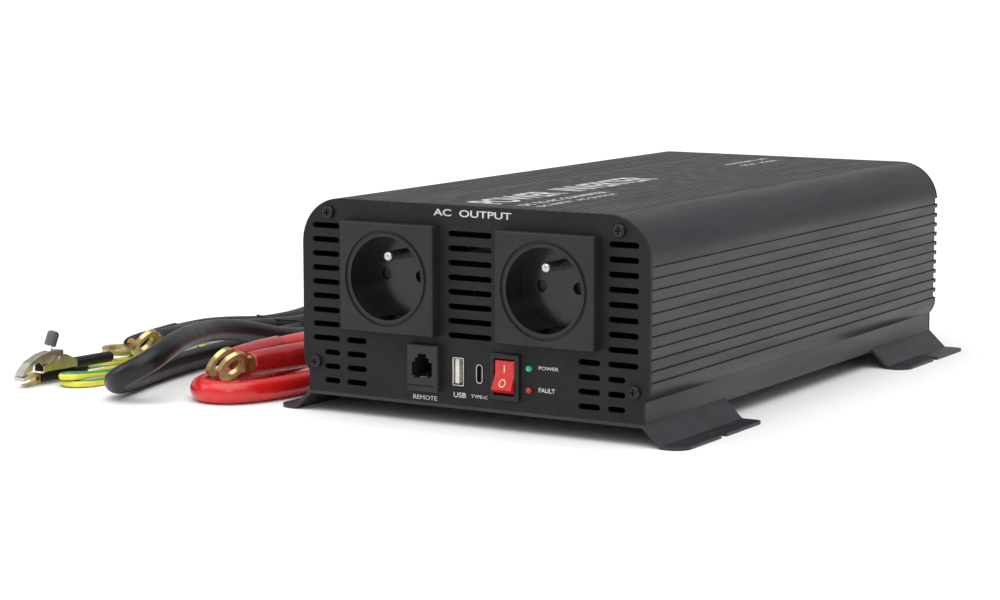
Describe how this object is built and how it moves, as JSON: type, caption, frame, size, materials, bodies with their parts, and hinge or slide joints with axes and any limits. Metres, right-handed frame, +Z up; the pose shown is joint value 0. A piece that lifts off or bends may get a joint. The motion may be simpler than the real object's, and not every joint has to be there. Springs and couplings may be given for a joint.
{
  "type": "power inverter",
  "caption": "Extruded box inverter with two round-recess outlets, a control strip, four bent feet, rear fans and ring-ended battery leads.",
  "frame": {"origin": "on the floor under the middle of the unit, cables aside", "axes": "+X right seen from the front panel, +Y from the front panel to the rear panel, +Z up"},
  "size_m": [0.3823, 0.3945, 0.101],
  "materials": {
    "housing": "satin black anodised extrusion",
    "base_steel": "satin powder-coated sheet",
    "panel": "fine textured matt black",
    "label": "semi-gloss film",
    "screw": "dark nickel",
    "outlet_plastic": "fine spark-eroded texture",
    "shutter_plastic": "moulded",
    "nickel": "bright nickel",
    "brass": "stamped",
    "gold": "plated",
    "copper": "bright",
    "jack_plastic": "moulded",
    "white_plastic": "moulded",
    "black_plastic": "moulded",
    "circuit_board": "solder mask",
    "red_rocker": "moulded, semi-gloss",
    "green_lens": "diffused lens",
    "red_lens": "diffused lens",
    "red_plastic": "moulded",
    "ferrite": "sintered",
    "capacitor": "sleeved can",
    "aluminium": "mill finish",
    "fuse_plastic": "tinted",
    "red_rubber": "soft glossy insulation",
    "black_rubber": "soft insulation",
    "red_sleeve": "heat-shrink",
    "earth_yellow": "yellow and green insulation",
    "grey_rubber": "soft grip"
  },
  "bodies": {
    "case": {"ac_socket_left": "outlet_plastic", "ac_socket_right": "outlet_plastic", "base_plate": "base_steel", "base_screws": "screw", "blade_fuses": "fuse_plastic", "board_standoffs": "nickel", "bulk_capacitors": "capacitor", "busbars": "copper", "choke_core": "ferrite", "choke_winding": "copper", "clip_grip_fixed": "black_rubber", "clip_jaw_fixed": "nickel", "clip_pin": "nickel", "clip_terminal": "brass", "control_board": "circuit_board", "earth_lead": "earth_yellow", "fan_frames": "black_plastic", "fan_guards": "nickel", "front_panel": "panel", "heat_spreaders": "aluminium", "housing_extrusion": "housing", "input_capacitors": "capacitor", "led_fault": "red_lens", "led_power": "green_lens", "main_board": "circuit_board", "negative_cable_a": "black_rubber", "negative_cable_b": "black_rubber", "negative_sleeves": "black_rubber", "pan_screws": "screw", "positive_cable_a": "red_rubber", "positive_cable_b": "red_rubber", "positive_sleeves": "red_sleeve", "power_switch_body": "black_plastic", "rear_panel": "panel", "remote_jack": "jack_plastic", "remote_jack_contacts": "gold", "ring_lugs": "brass", "socket_contacts": "brass", "socket_earth_pins": "nickel", "terminal_base_negative": "black_plastic", "terminal_base_positive": "red_plastic", "terminal_nuts": "nickel", "terminal_studs": "nickel", "top_label": "label", "transformer_cores": "ferrite", "transformer_windings": "copper", "transistor_clamps": "nickel", "transistors": "black_plastic", "usb_a_shell": "nickel", "usb_a_tongue": "white_plastic", "usb_board": "circuit_board", "usb_c_shell": "nickel", "usb_c_tongue": "black_plastic"},
    "power_rocker": {"power_rocker": "red_rocker"},
    "fan_rotor_left": {"fan_rotor_left": "black_plastic"},
    "fan_rotor_right": {"fan_rotor_right": "black_plastic"},
    "socket_shutter_left": {"socket_shutter_left": "shutter_plastic"},
    "socket_shutter_right": {"socket_shutter_right": "shutter_plastic"},
    "clip_jaw": {"clip_jaw_moving": "nickel", "clip_grip_moving": "grey_rubber"}
  },
  "joints": [
    {"name": "power_rocker_tilt", "type": "hinge", "parent": "case", "child": "power_rocker", "pos_m": [0.01915, -0.1761, 0.0254], "axis": [1, 0, 0], "range_deg": [0, 30]},
    {"name": "fan_spin_left", "type": "hinge", "parent": "case", "child": "fan_rotor_left", "pos_m": [-0.0098, 0.1429, 0.057], "axis": [0, 1, 0], "continuous": true},
    {"name": "fan_spin_right", "type": "hinge", "parent": "case", "child": "fan_rotor_right", "pos_m": [0.0505, 0.1429, 0.057], "axis": [0, 1, 0], "continuous": true},
    {"name": "shutter_drop_left", "type": "slide", "parent": "case", "child": "socket_shutter_left", "axis": [0, 0, -1], "range_m": [0, 0.0064], "stiffness_N_per_m": 60},
    {"name": "shutter_drop_right", "type": "slide", "parent": "case", "child": "socket_shutter_right", "axis": [0, 0, -1], "range_m": [0, 0.0064], "stiffness_N_per_m": 60},
    {"name": "clip_jaw_open", "type": "hinge", "parent": "case", "child": "clip_jaw", "pos_m": [-0.244, -0.1771, 0.012], "axis": [-0.9949, 0.1005, 0], "range_deg": [0, 30], "stiffness_Nm_per_rad": 0.02}
  ]
}
